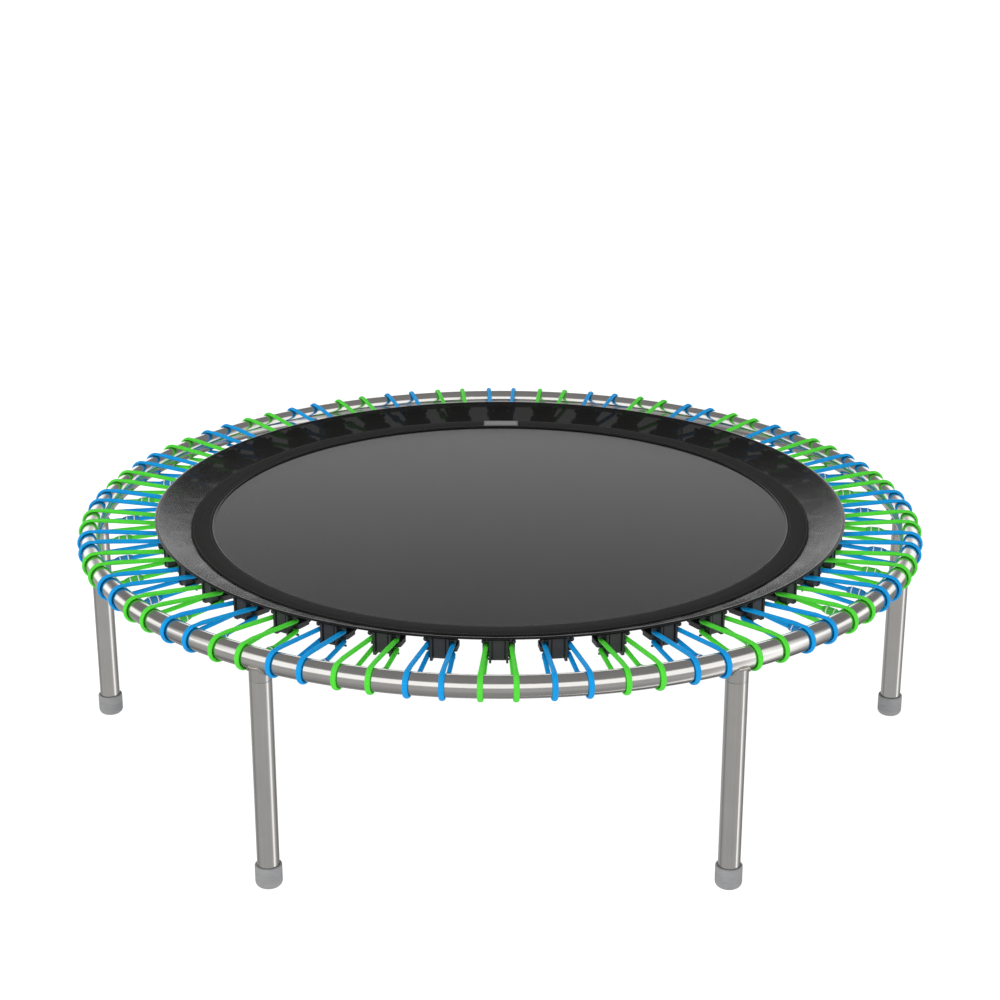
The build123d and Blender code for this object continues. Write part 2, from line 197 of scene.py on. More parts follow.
class Nodes:
    """A material under construction: each method adds a node and returns its main output."""

    def __init__(self, name, world=None):
        self.material = world or bpy.data.materials.new(name)
        self.material.use_nodes = True
        self.tree = self.material.node_tree
        self.tree.nodes.clear()
        self.output = self.tree.nodes.new("ShaderNodeOutputWorld" if world else "ShaderNodeOutputMaterial")

    def link(self, source, target):
        if isinstance(source, (int, float, tuple)):
            target.default_value = source
        else:
            self.tree.links.new(source, target)

    def shader(self, **settings):
        node = self.tree.nodes.new("ShaderNodeBsdfPrincipled")
        for key, value in settings.items():
            self.link(value, node.inputs[key.replace("_", " ")])
        return node

    def finish(self, shader):
        self.tree.links.new(shader, self.output.inputs["Surface"])
        return self.material

    def place(self, kind="Object"):
        return self.tree.nodes.new("ShaderNodeTexCoord").outputs[kind]

    def uv(self):
        node = self.tree.nodes.new("ShaderNodeUVMap")
        node.uv_map = "UVMap"
        return node.outputs["UV"]

    def math(self, operation, a, b=0.0, c=0.0):
        node = self.tree.nodes.new("ShaderNodeMath")
        node.operation = operation
        for value, socket in zip((a, b, c), node.inputs):
            self.link(value, socket)
        return node.outputs[0]

    def split(self, vector):
        node = self.tree.nodes.new("ShaderNodeSeparateXYZ")
        self.link(vector, node.inputs[0])
        return node.outputs[0], node.outputs[1], node.outputs[2]

    def join(self, x, y, z):
        node = self.tree.nodes.new("ShaderNodeCombineXYZ")
        for value, socket in zip((x, y, z), node.inputs):
            self.link(value, socket)
        return node.outputs[0]

    def noise(self, vector, scale, detail=3.0, roughness=0.5):
        node = self.tree.nodes.new("ShaderNodeTexNoise")
        self.link(vector, node.inputs["Vector"])
        node.inputs["Scale"].default_value = scale
        node.inputs["Detail"].default_value = detail
        node.inputs["Roughness"].default_value = roughness
        return node.outputs["Fac"]

    def ramp(self, value, stops):
        node = self.tree.nodes.new("ShaderNodeValToRGB")
        self.link(value, node.inputs[0])
        elements = node.color_ramp.elements
        while len(elements) < len(stops):
            elements.new(0.5)
        for element, (position, colour) in zip(elements, stops):
            element.position = position
            element.color = (*colour, 1.0) if len(colour) == 3 else colour
        return node.outputs["Color"]

    def spread(self, value, low, high):
        """Map 0..1 to low..high."""
        return self.math("MULTIPLY_ADD", value, high - low, low)

    def bump(self, height, strength, distance, normal=None):
        node = self.tree.nodes.new("ShaderNodeBump")
        self.link(height, node.inputs["Height"])
        node.inputs["Strength"].default_value = strength
        node.inputs["Distance"].default_value = distance
        if normal is not None:
            self.link(normal, node.inputs["Normal"])
        return node.outputs["Normal"]

    def wave(self, value, period, phase=0.0):
        """A sine of a length, from 0 to 1."""
        turned = self.math("MULTIPLY_ADD", value, 2 * math.pi / period, phase)
        return self.math("MULTIPLY_ADD", self.math("SINE", turned), 0.5, 0.5)

    def polar(self):
        """Distance from the ring's axis and length round it, as metres at the frame's radius."""
        x, y, z = self.split(self.place())
        square = self.math("ADD", self.math("MULTIPLY", x, x), self.math("MULTIPLY", y, y))
        radius = self.math("SQRT", square)
        around = self.math("MULTIPLY", self.math("ARCTAN2", y, x), RING_RADIUS)
        return radius, around, z


def dress(obj, material):
    """Give a piece one material."""
    obj.data.materials.clear()
    obj.data.materials.append(material)
    return obj


# ---------------------------------------------------------------- materials


# Polishing lines for each metre along a tube and across it
ALONG, ACROSS = 6.0, 420.0


def steel(name, streak_axis, colour, roughness):
    """Satin steel tube: fine polishing lines along the tube, with faint handling marks."""
    n = Nodes(name)
    if streak_axis == "ring":
        radius, around, z = n.polar()
        stretched = ((around, ALONG), (radius, ACROSS), (z, ACROSS))
    else:
        x, y, z = n.split(n.place())
        stretched = ((x, ACROSS), (y, ACROSS), (z, ALONG))
    lines = n.join(*[n.math("MULTIPLY", length, scale) for length, scale in stretched])
    streaks = n.noise(lines, 1.0, 4.0, 0.6)
    marks = n.noise(n.place(), 28.0, 3.0, 0.55)
    tone = n.ramp(
        n.math("MULTIPLY_ADD", marks, 0.5, n.math("MULTIPLY", streaks, 0.5)),
        [(0.3, tuple(c * 0.88 for c in colour)), (0.7, colour)],
    )
    line_rough = n.spread(streaks, roughness - 0.05, roughness + 0.07)
    rough = n.math("ADD", line_rough, n.spread(marks, -0.03, 0.04))
    shader = n.shader(Base_Color=tone, Metallic=1.0, Roughness=rough)
    n.link(n.bump(streaks, 0.12, 0.00012), shader.inputs["Normal"])
    return n.finish(shader.outputs[0])


def weld():
    """Bright welded bead with heat tint where it meets the tube."""
    n = Nodes("weld_bead")
    grain = n.noise(n.place(), 320.0, 3.0, 0.6)
    tint = n.ramp(n.noise(n.place(), 60.0), [(0.35, (0.50, 0.46, 0.40)), (0.65, (0.62, 0.60, 0.57))])
    shader = n.shader(Base_Color=tint, Metallic=1.0, Roughness=n.spread(grain, 0.30, 0.48))
    n.link(n.bump(grain, 0.3, 0.0002), shader.inputs["Normal"])
    return n.finish(shader.outputs[0])


def zinc():
    """Zinc-plated screw."""
    n = Nodes("zinc")
    spots = n.noise(n.place(), 180.0, 3.0)
    tone = n.ramp(spots, [(0.3, (0.46, 0.46, 0.47)), (0.7, (0.62, 0.62, 0.61))])
    shader = n.shader(Base_Color=tone, Metallic=1.0, Roughness=n.spread(spots, 0.28, 0.42))
    return n.finish(shader.outputs[0])


def rubber():
    """Matt grey moulded rubber."""
    n = Nodes("foot_rubber")
    grain = n.noise(n.place(), 900.0, 4.0, 0.65)
    cloud = n.noise(n.place(), 60.0, 3.0)
    tone = n.ramp(
        n.math("MULTIPLY_ADD", cloud, 0.6, n.math("MULTIPLY", grain, 0.4)),
        [(0.3, (0.235, 0.235, 0.24)), (0.7, (0.295, 0.295, 0.30))],
    )
    shader = n.shader(Base_Color=tone, Roughness=n.spread(grain, 0.55, 0.72), Specular_IOR_Level=0.35)
    n.link(n.bump(grain, 0.25, 0.0002), shader.inputs["Normal"])
    return n.finish(shader.outputs[0])


MESH_PERIOD = 2.4 * MM
STREAK_PERIOD = 5.2 * MM
STREAK_SLANT = 0.19


def woven_mesh():
    """Open woven plastic mesh on the bias: two sets of flat tapes with small holes between them."""
    n = Nodes("jumping_mesh")
    x, y, z = n.split(n.place())
    left = n.math("MULTIPLY", n.math("ADD", x, y), math.sqrt(0.5))
    right = n.math("MULTIPLY", n.math("SUBTRACT", x, y), math.sqrt(0.5))
    warp = n.wave(left, MESH_PERIOD)
    weft = n.wave(right, MESH_PERIOD)
    over = n.wave(n.math("ADD", left, right), 2 * MESH_PERIOD)
    under = n.math("SUBTRACT", 1.0, over)
    height = n.math("MAXIMUM", n.math("MULTIPLY", warp, over), n.math("MULTIPLY", weft, under))
    cloud = n.noise(n.place(), 9.0, 3.0, 0.5)
    slant = n.math("ADD", x, n.math("MULTIPLY", y, STREAK_SLANT))
    streak = n.wave(slant, STREAK_PERIOD)
    weave = n.math("MULTIPLY_ADD", cloud, 0.25, n.math("MULTIPLY", height, 0.45))
    tone = n.ramp(
        n.math("MULTIPLY_ADD", streak, 0.30, weave),
        [(0.25, (0.005, 0.0047, 0.0045)), (0.75, (0.017, 0.016, 0.0155))],
    )
    shader = n.shader(
        Base_Color=tone,
        Roughness=n.spread(height, 0.20, 0.14),
        Specular_IOR_Level=0.165,
    )
    n.link(n.bump(height, 0.2, 0.0003), shader.inputs["Normal"])
    hole = n.math("GREATER_THAN", 0.10, n.math("MAXIMUM", warp, weft))
    see_through = n.tree.nodes.new("ShaderNodeBsdfTransparent")
    mix = n.tree.nodes.new("ShaderNodeMixShader")
    n.link(hole, mix.inputs[0])
    n.link(shader.outputs[0], mix.inputs[1])
    n.link(see_through.outputs[0], mix.inputs[2])
    return n.finish(mix.outputs[0])


def webbing(name, colour, rib, across):
    """Woven strap: fine ribs one way and a herringbone of threads the other."""
    n = Nodes(name)
    radius, around, z = n.polar()
    first, second = (radius, around) if across == "round" else (around, radius)
    ribs = n.wave(first, rib)
    twill = n.wave(n.math("ADD", second, n.math("MULTIPLY", first, 0.8)), rib * 1.3)
    fluff = n.noise(n.place(), 700.0, 3.0, 0.6)
    height = n.math("MULTIPLY_ADD", twill, 0.5, n.math("MULTIPLY", ribs, 0.5))
    tone = n.ramp(
        n.math("MULTIPLY_ADD", fluff, 0.3, n.math("MULTIPLY", height, 0.7)),
        [(0.2, tuple(c * 0.65 for c in colour)), (0.8, tuple(c * 1.25 for c in colour))],
    )
    shader = n.shader(
        Base_Color=tone, Roughness=0.85, Specular_IOR_Level=0.1, Sheen_Weight=0.03, Sheen_Roughness=0.5
    )
    n.link(n.bump(height, 0.5, 0.0003), shader.inputs["Normal"])
    return n.finish(shader.outputs[0])


SKIRT_SEE_THROUGH = 0.145


def skirt_film():
    """Glossy coated cloth, dark and slightly see-through, with a fine woven backing."""
    n = Nodes("skirt_film")
    radius, around, z = n.polar()
    weave = n.math("MULTIPLY", n.wave(radius, 1.1 * MM), n.wave(around, 1.1 * MM))
    waves = n.join(n.math("MULTIPLY", around, 9.0), n.math("MULTIPLY", radius, 30.0), 0.0)
    ripple = n.noise(waves, 1.0, 2.0)
    tone = n.ramp(weave, [(0.1, (0.005, 0.0047, 0.0045)), (0.9, (0.010, 0.0095, 0.009))])
    shader = n.shader(
        Base_Color=tone,
        Roughness=n.spread(ripple, 0.22, 0.30),
        Specular_IOR_Level=0.19,
    )
    normal = n.bump(ripple, 0.25, 0.004)
    n.link(n.bump(weave, 0.15, 0.0002, normal), shader.inputs["Normal"])
    see_through = n.tree.nodes.new("ShaderNodeBsdfTransparent")
    mix = n.tree.nodes.new("ShaderNodeMixShader")
    mix.inputs[0].default_value = SKIRT_SEE_THROUGH
    n.link(shader.outputs[0], mix.inputs[1])
    n.link(see_through.outputs[0], mix.inputs[2])
    return n.finish(mix.outputs[0])


def piping():
    """Shiny black bound edge, with the slant of its wound cover."""
    n = Nodes("piping")
    radius, around, z = n.polar()
    slant = n.wave(n.math("ADD", around, n.math("MULTIPLY", radius, 1.5)), 1.6 * MM)
    tone = n.ramp(slant, [(0.2, (0.001, 0.001, 0.001)), (0.8, (0.003, 0.003, 0.003))])
    shader = n.shader(Base_Color=tone, Roughness=n.spread(slant, 0.14, 0.22), Specular_IOR_Level=0.30)
    n.link(n.bump(slant, 0.12, 0.0002), shader.inputs["Normal"])
    return n.finish(shader.outputs[0])


def moulded(name, colour, roughness, grain_depth=0.15):
    """Moulded plastic with a fine spark-eroded grain."""
    n = Nodes(name)
    grain = n.noise(n.place(), 1400.0, 3.0, 0.6)
    flow = n.noise(n.place(), 45.0, 2.0)
    tone = n.ramp(flow, [(0.3, tuple(c * 0.85 for c in colour)), (0.7, tuple(c * 1.1 for c in colour))])
    shader = n.shader(Base_Color=tone, Roughness=n.spread(grain, roughness - 0.06, roughness + 0.08))
    n.link(n.bump(grain, grain_depth, 0.0002), shader.inputs["Normal"])
    return n.finish(shader.outputs[0])


BRAID_LENGTH = 3.0 * MM
BRAID_COUNT = 8.0


def braid(name, colour, dark):
    """Braided rope cover: two sets of yarns wound opposite ways, over and under each other."""
    n = Nodes(name)
    along, around = n.split(n.uv())[:2]
    turn = n.math("MULTIPLY", around, 2 * math.pi * BRAID_COUNT)
    travel = n.math("MULTIPLY", along, 2 * math.pi / BRAID_LENGTH)
    right = n.math("SINE", n.math("ADD", travel, turn))
    left = n.math("SINE", n.math("SUBTRACT", travel, turn))
    relief = n.math("MULTIPLY_ADD", n.math("MULTIPLY", right, left), 0.5, 0.5)
    fibre = n.noise(n.place(), 900.0, 3.0, 0.6)
    tone = n.ramp(
        n.math("MULTIPLY_ADD", fibre, 0.3, n.math("MULTIPLY", relief, 0.7)),
        [(0.15, dark), (0.75, colour)],
    )
    shader = n.shader(
        Base_Color=tone,
        Roughness=n.spread(relief, 0.62, 0.50),
        Specular_IOR_Level=0.15,
    )
    n.link(n.bump(relief, 0.35, 0.0004), shader.inputs["Normal"])
    return n.finish(shader.outputs[0])


def thread(name, colour):
    """Twisted sewing thread."""
    n = Nodes(name)
    twist = n.noise(n.place(), 2500.0, 2.0)
    tone = n.ramp(twist, [(0.3, tuple(c * 0.7 for c in colour)), (0.7, colour)])
    shader = n.shader(Base_Color=tone, Roughness=0.6, Specular_IOR_Level=0.4, Sheen_Weight=0.1)
    return n.finish(shader.outputs[0])


def label_cloth():
    """Plain grey woven label."""
    n = Nodes("label_cloth")
    x, y, z = n.split(n.place())
    weave = n.math("MULTIPLY", n.wave(x, 0.7 * MM), n.wave(y, 0.5 * MM))
    tone = n.ramp(weave, [(0.0, (0.15, 0.15, 0.154)), (0.8, (0.27, 0.27, 0.278))])
    shader = n.shader(Base_Color=tone, Roughness=0.6, Sheen_Weight=0.2)
    n.link(n.bump(weave, 0.3, 0.0002), shader.inputs["Normal"])
    return n.finish(shader.outputs[0])


STEEL = (0.66, 0.645, 0.62)
RING_STEEL = steel("ring_steel", "ring", STEEL, 0.16)
LEG_STEEL = steel("leg_steel", "leg", STEEL, 0.16)
SOCKET_STEEL = steel("socket_steel", "leg", tuple(c * 0.95 for c in STEEL), 0.22)
WELD = weld()
ZINC = zinc()
RUBBER = rubber()
MESH = woven_mesh()
BORDER = webbing("border_webbing", (0.013, 0.013, 0.0125), 1.2 * MM, "round")
LOOP = webbing("loop_webbing", (0.020, 0.020, 0.020), 1.0 * MM, "out")
FILM = skirt_film()
PIPING = piping()
CLAMP = moulded("clamp_plastic", (0.030, 0.030, 0.031), 0.42)
ROPES = {
    "green": braid("rope_green", (0.115, 0.82, 0.055), (0.04, 0.47, 0.025)),
    "blue": braid("rope_blue", (0.004, 0.38, 0.86), (0.002, 0.20, 0.52)),
}
CLIPS = {
    "green": moulded("clip_green", (0.05, 0.46, 0.035), 0.30, 0.05),
    "blue": moulded("clip_blue", (0.008, 0.20, 0.50), 0.30, 0.05),
}
WHITE = moulded("band_white", (0.80, 0.82, 0.82), 0.28, 0.03)
BLACK_THREAD = thread("black_thread", (0.05, 0.05, 0.05))
LABEL = label_cloth()

# ---------------------------------------------------------------- steel frame and legs


def make_frame():
    """The ring tube, its sockets and their welds."""
    segments, sides = 360, 40
    vertices = []
    for angle in circle(segments):
        for turn in circle(sides):
            radius = RING_RADIUS + TUBE_RADIUS * math.cos(turn)
            vertices.append((
                radius * math.cos(angle),
                radius * math.sin(angle),
                RING_HEIGHT + TUBE_RADIUS * math.sin(turn),
            ))
    faces = grid_faces(segments, sides, close_rows=True)
    ring = dress(add_object("ring_tube", vertices, faces), RING_STEEL)
    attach(ring, "frame")
    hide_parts("frame_ring")
    for number, angle in enumerate(circle(LEG_COUNT), start=1):
        make_weld(number, angle)
    dress(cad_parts["leg_sockets"], SOCKET_STEEL)


WELD_RIPPLES = 44
WELD_RADIUS = 2.3 * MM
STUB_RADIUS = 15.0 * MM


def make_weld(number, angle):
    """A rippled bead along the curve where a socket meets the tube."""
    steps, sides = WELD_RIPPLES * 6, 10
    vertices = []
    for step in range(steps):
        turn = 2 * math.pi * step / steps
        ripple = 1 + 0.10 * math.sin(WELD_RIPPLES * turn)
        reach = STUB_RADIUS + 0.4 * MM
        out, side = reach * math.cos(turn), reach * math.sin(turn)
        inside = min(abs(out) / TUBE_RADIUS, 0.93)
        low = -TUBE_RADIUS * math.sqrt(1 - inside**2)
        centre = Vector((out, side, low - 1.0 * MM))
        radial = Vector((math.cos(turn), math.sin(turn), 0))
        for around in circle(sides):
            offset = radial * math.cos(around) + Vector((0, 0, math.sin(around)))
            vertices.append(centre + offset * WELD_RADIUS * ripple)
    bead = add_object(f"weld_bead_{number}", vertices, grid_faces(steps, sides, close_rows=True))
    place = Matrix.Rotation(angle, 4, "Z") @ Matrix.Translation((RING_RADIUS, 0, RING_HEIGHT))
    bead.data.transform(place)
    dress(bead, WELD)
    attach(bead, "frame")


THREAD_PITCH = 2.5 * MM


def make_stud(number, angle):
    """The plug in the top of a leg, with its screw thread."""
    low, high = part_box(f"leg_stud_{number}")
    leg_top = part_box(f"leg_tube_{number}")[1][2]
    major = 10.0 * MM
    minor = 8.6 * MM
    chamfer = 1.5 * MM
    length = high[2] - leg_top
    vertices = []
    columns = 48
    levels = 160
    for level in range(levels + 1):
        height = length * level / levels
        for column in range(columns):
            turn = 2 * math.pi * column / columns
            phase = (height / THREAD_PITCH - turn / (2 * math.pi)) % 1
            tooth = 1 - abs(2 * phase - 1)
            radius = minor + (major - minor) * min(max(tooth * 1.5 - 0.25, 0), 1)
            radius = min(radius, major - chamfer + (length - height))
            if height < 2 * MM:
                radius = min(radius, minor + max(0.0, height - 1.0 * MM) * 2)
            vertices.append((radius * math.cos(turn), radius * math.sin(turn), leg_top + height))
    faces = grid_faces(levels + 1, columns)
    plug_radius = TUBE_RADIUS - 1.5 * MM
    rings = [
        (plug_radius - 0.5 * MM, leg_top - 0.05 * MM),
        (plug_radius, leg_top - 0.5 * MM),
        (plug_radius, low[2] + 0.8 * MM),
        (plug_radius - 0.8 * MM, low[2]),
    ]
    base = len(vertices)
    for radius, height in rings:
        for column in range(columns):
            turn = 2 * math.pi * column / columns
            vertices.append((radius * math.cos(turn), radius * math.sin(turn), height))
    for column in range(columns):
        after = (column + 1) % columns
        faces.append((base + column, base + after, after, column))
    for row in range(len(rings) - 1):
        for column in range(columns):
            after = (column + 1) % columns
            a = base + row * columns
            b = a + columns
            faces.append((b + column, b + after, a + after, a + column))
    last = base + (len(rings) - 1) * columns
    faces.append([last + column for column in range(columns)][::-1])
    top = levels * columns
    faces.append([top + column for column in range(columns)])
    stud = add_object(f"screw_stud_{number}", vertices, faces)
    stud.data.transform(Matrix.Rotation(angle, 4, "Z") @ Matrix.Translation((RING_RADIUS, 0, 0)))
    sharpen(stud, 40)
    dress(stud, ZINC)
    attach(stud, f"leg_{number}")
    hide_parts(f"leg_stud_{number}")


def make_foot(number, angle):
    """A rubber foot: a cup with a rolled lip, shallow grip rings and a rounded heel."""
    radius = 18.25 * MM
    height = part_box(f"foot_cap_{number}")[1][2]
    bore = TUBE_RADIUS + 0.05 * MM
    floor = 8.0 * MM
    heel = 8.0 * MM
    profile = [(0.05 * MM, 0.4 * MM), (6.5 * MM, 0.4 * MM), (7.5 * MM, 0.0)]
    profile += arc_points((radius - heel, heel), heel, -90, 0, 12)
    groove, depth = 0.7 * MM, 0.35 * MM
    for ring in range(3):
        level = 12.5 * MM + ring * 3.2 * MM
        profile += [
            (radius, level - groove),
            (radius - depth, level - groove * 0.5),
            (radius - depth, level + groove * 0.5),
            (radius, level + groove),
        ]
    lip = 1.5 * MM
    profile += arc_points((radius - lip, height - lip), lip, 0, 90, 6)
    profile += [(bore + 0.6 * MM, height), (bore, height - 0.6 * MM), (bore, floor), (0.05 * MM, floor)]
    centre = (RING_RADIUS * math.cos(angle), RING_RADIUS * math.sin(angle))
    foot = dress(sharpen(lathe(f"rubber_foot_{number}", profile, 64, centre), 50), RUBBER)
    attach(foot, f"foot_{number}")
    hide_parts(f"foot_cap_{number}")


def make_legs():
    for number, angle in enumerate(circle(LEG_COUNT), start=1):
        make_stud(number, angle)
        make_foot(number, angle)
        dress(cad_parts[f"leg_tube_{number}"], LEG_STEEL)


# ---------------------------------------------------------------- mat


def make_mesh_mat():
    """The round mesh, a thin disc."""
    segments, rings = 168, 24
    vertices, faces = [], []
    for level in (MESH_TOP, MESH_LOW):
        for ring in range(1, rings + 1):
            for angle in circle(segments):
                radius = MESH_RADIUS * ring / rings
                vertices.append((radius * math.cos(angle), radius * math.sin(angle), level))
    layer = rings * segments
    faces += grid_faces(rings, segments)
    faces += [f[::-1] for f in grid_faces(rings, segments, offset=layer)]
    faces += [
        (
            layer - segments + n,
            layer - segments + (n + 1) % segments,
            2 * layer - segments + (n + 1) % segments,
            2 * layer - segments + n,
        )
        for n in range(segments)
    ]
    faces = [f[::-1] for f in faces]
    for start, level, flip in ((0, MESH_TOP, False), (layer, MESH_LOW, True)):
        centre = len(vertices)
        vertices.append((0, 0, level))
        for n in range(segments):
            face = (centre, start + n, start + (n + 1) % segments)
            faces.append(face[::-1] if flip else face)
    mat = dress(sharpen(add_object("mesh_mat", vertices, faces)), MESH)
    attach(mat, "mat")
    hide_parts("jumping_mat")


def make_border():
    """The black webbing sewn round the mesh, with two rows of stitches."""
    edge = 0.5 * MM
    low, top = BORDER_LOW, BORDER_TOP
    profile = [
        (BORDER_INNER, low),
        (BORDER_INNER, top - edge),
        (BORDER_INNER + edge * 0.3, top - edge * 0.3),
        (BORDER_INNER + edge, top),
        ((BORDER_INNER + BORDER_OUTER) / 2, top),
        (BORDER_OUTER - edge, top),
        (BORDER_OUTER - edge * 0.3, top - edge * 0.3),
        (BORDER_OUTER, top - edge),
        (BORDER_OUTER, low),
    ]
    border = dress(sharpen(lathe("border_band", profile, 336)), BORDER)
    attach(border, "mat")
    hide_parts("mat_border")
    rows = [BORDER_INNER + 3 * MM, BORDER_OUTER - 3 * MM]
    stitches = dress(stitch_rows("border_stitches", rows, BORDER_TOP), BLACK_THREAD)
    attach(stitches, "mat")


STITCH_PITCH = 5.0 * MM
STITCH_LENGTH = 3.6 * MM


def stitch(centre, along, up, length, radius, sides=6):
    """One stitch: a short arched thread that dips into the cloth at both ends."""
    across = along.cross(up)
    steps = 5
    vertices = []
    for step in range(steps):
        share = step / (steps - 1)
        lift = radius * (1.6 * math.sin(math.pi * share) - 0.8)
        spot = centre + along * (share - 0.5) * length + up * lift
        size = radius * (0.55 + 0.45 * math.sin(math.pi * share))
        for turn in circle(sides):
            vertices.append(spot + (across * math.cos(turn) + up * math.sin(turn)) * size)
    faces = grid_faces(steps, sides)
    faces += [tuple(range(sides))[::-1], tuple(range((steps - 1) * sides, steps * sides))]
    return vertices, faces


def stitch_rows(name, radii, height):
    """Rows of stitches round the mat, as one object."""
    vertices, faces = [], []
    for radius in radii:
        count = round(2 * math.pi * radius / STITCH_PITCH)
        for angle in circle(count):
            out = Vector((math.cos(angle), math.sin(angle), 0))
            along = Vector((-math.sin(angle), math.cos(angle), 0))
            centre = out * radius + Vector((0, 0, height))
            points, quads = stitch(centre, along, Vector((0, 0, 1)), STITCH_LENGTH, 0.35 * MM)
            faces += [tuple(len(vertices) + i for i in q) for q in quads]
            vertices += points
    return add_object(name, vertices, faces)


def skirt_height(radius):
    """Height of the collar's lower face at a radius: a shallow bowl from the border to its edge."""
    start = BORDER_OUTER + 0.4 * MM
    share = min(max((radius - start) / (SKIRT_EDGE - start), 0), 1)
    rise = SKIRT_EDGE_TOP - SKIRT_THICKNESS - MESH_TOP
    return MESH_TOP + rise * share - 4 * SKIRT_SAG * share * (1 - share)


def make_skirt():
    """The raised collar, its bound edge and the cord along the border's inner edge."""
    inner = BORDER_INNER + 1.4 * MM
    radii = [inner, BORDER_OUTER - 6 * MM, BORDER_OUTER]
    radii += [BORDER_OUTER + 0.4 * MM + (SKIRT_EDGE - BORDER_OUTER - 0.4 * MM) * n / 12 for n in range(13)]
    lower = [(radius, skirt_height(radius)) for radius in radii]
    upper = [(radius, height + SKIRT_THICKNESS) for radius, height in reversed(lower)]
    skirt = dress(sharpen(lathe("raised_skirt", upper + lower, 336), 60), FILM)
    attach(skirt, "mat")
    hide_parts("mat_skirt")
    centre = (BINDING_OUTER - BINDING_HALF_WIDTH, SKIRT_EDGE_TOP - SKIRT_THICKNESS / 2)
    fold = arc_points((0, 0), 1.0, 0, -337.5, 15)
    profile = [(centre[0] + BINDING_HALF_WIDTH * x, centre[1] + BINDING_HALF_THICKNESS * y) for x, y in fold]
    edge = dress(lathe("skirt_edge", profile, 504), PIPING)
    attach(edge, "mat")
    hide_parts("skirt_piping")
    centre = (BORDER_INNER - 1.1 * MM, MESH_TOP + 1.0 * MM)
    cord = dress(lathe("border_cord", arc_points(centre, 1.0 * MM, 0, -324, 9), 504), PIPING)
    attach(cord, "mat")
    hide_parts("border_piping")


def make_label():
    """A blank woven label with a dark sewn border, following the band it is sewn to."""
    low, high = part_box("mat_label")
    half_width, depth = (high[0] - low[0]) / 2, high[1] - low[1]
    columns, rows = 25, 9
    top, bottom = high[2], low[2]
    vertices = []
    for level in (top, bottom):
        for row in range(rows):
            for column in range(columns):
                x = half_width * (2 * column / (columns - 1) - 1)
                y = low[1] + depth * row / (rows - 1)
                border = min(column, columns - 1 - column, row, rows - 1 - row)
                drop = 0.2 * MM if border == 0 and level == top else 0
                vertices.append((x, y, level - drop))
    layer = rows * columns
    faces = grid_faces(rows, columns, close_columns=False)
    faces += [f[::-1] for f in grid_faces(rows, columns, close_columns=False, offset=layer)]
    rim = list(range(columns))
    rim += [r * columns + columns - 1 for r in range(1, rows)]
    rim += [(rows - 1) * columns + c for c in range(columns - 2, -1, -1)]
    rim += [r * columns for r in range(rows - 2, 0, -1)]
    for n, a in enumerate(rim):
        b = rim[(n + 1) % len(rim)]
        faces.append((b, a, a + layer, b + layer))
    label = dress(sharpen(add_object("blank_label", vertices, faces)), LABEL)
    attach(label, "mat")
    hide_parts("mat_label")
    inset = 1.6 * MM
    vertices, faces = [], []
    corners = [
        Vector((-half_width + inset, low[1] + inset, top)),
        Vector((half_width - inset, low[1] + inset, top)),
        Vector((half_width - inset, high[1] - inset, top)),
        Vector((-half_width + inset, high[1] - inset, top)),
    ]
    for n, start in enumerate(corners):
        end = corners[(n + 1) % 4]
        run = (end - start).length
        count = round(run / (2.4 * MM))
        for step in range(count):
            spot = start.lerp(end, (step + 0.5) / count)
            points, quads = stitch(spot, (end - start).normalized(), Vector((0, 0, 1)), 2.0 * MM, 0.45 * MM)
            faces += [tuple(len(vertices) + i for i in q) for q in quads]
            vertices += points
    stitches = dress(add_object("label_stitches", vertices, faces), BLACK_THREAD)
    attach(stitches, "mat")


LOOP_WIDTH = 32.0 * MM
LOOP_THICKNESS = 1.2 * MM


def make_loops():
    """The webbing loops that hold the clamps' bars, all as one object."""
    bar_top = RING_HEIGHT + UPPER_ROPE - ROPE_RADIUS - 0.3 * MM
    bar_bottom = RING_HEIGHT + LOWER_ROPE + ROPE_RADIUS + 0.3 * MM
    half = LOOP_THICKNESS / 2
    rail_inner, rail_outer = 476.8 * MM, 481.7 * MM
    upper, lower = bar_top + 0.2 * MM + half, bar_bottom - 0.2 * MM - half
    under = MESH_LOW - half
    bend = 1.3 * MM
    tail = 440 * MM
    route = [(tail, under), (MESH_RADIUS - 2 * MM, under), (rail_inner - 1 * MM, upper)]
    route += arc_points((rail_outer + half - bend, upper - bend), bend, 90, 0, 4)
    route += arc_points((rail_outer + half - bend, lower + bend), bend, 0, -90, 4)
    route += [(rail_inner - 1 * MM, lower), (MESH_RADIUS - 2 * MM, under - LOOP_THICKNESS)]
    route += [(tail, under - LOOP_THICKNESS)]
    points = [Vector((r, 0, z)) for r, z in route]
    vertices, faces = [], []
    for angle in circle(ROPE_COUNT, FRONT):
        turn = Matrix.Rotation(angle, 3, "Z")
        base = len(vertices)
        for n, point in enumerate(points):
            before = points[max(n - 1, 0)]
            after = points[min(n + 1, len(points) - 1)]
            along = (after - before).normalized()
            normal = Vector((along.z, 0, -along.x))
            for side, face in ((-1, -1), (1, -1), (1, 1), (-1, 1)):
                spot = point + normal * half * face + Vector((0, side * LOOP_WIDTH / 2, 0))
                vertices.append(turn @ spot)
        faces += grid_faces(len(points), 4, offset=base)
        faces += [
            tuple(base + n for n in (3, 2, 1, 0)),
            tuple(base + 4 * (len(points) - 1) + n for n in range(4)),
        ]
    loops = dress(sharpen(add_object("webbing_loops", vertices, faces), 50), LOOP)
    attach(loops, "mat")
    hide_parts("mat_loops")


# ---------------------------------------------------------------- rope rings


